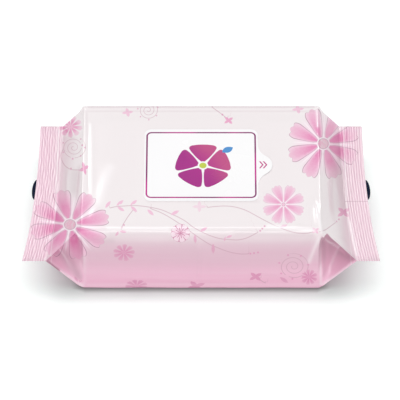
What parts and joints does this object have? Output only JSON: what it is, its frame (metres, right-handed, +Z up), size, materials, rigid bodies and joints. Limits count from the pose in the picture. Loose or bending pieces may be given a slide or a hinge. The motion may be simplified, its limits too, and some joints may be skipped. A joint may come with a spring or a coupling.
{
  "type": "wet wipes pack",
  "caption": "Sealed film pack of moist wipes with gusseted ends, crimped end seals, a folded back fin and a peel-and-reseal label with a pull tab on top.",
  "frame": {"origin": "centre of the pack's outline, on the surface that it lies on", "axes": "+X along the pack to its right end seal, +Y to its back, +Z up through the label"},
  "size_m": [0.2312, 0.1124, 0.0646],
  "materials": {
    "printed_film": "gloss",
    "label_film": "gloss"
  },
  "bodies": {
    "root": {"wrapper": "printed_film", "reseal_label": "label_film"}
  },
  "joints": []
}
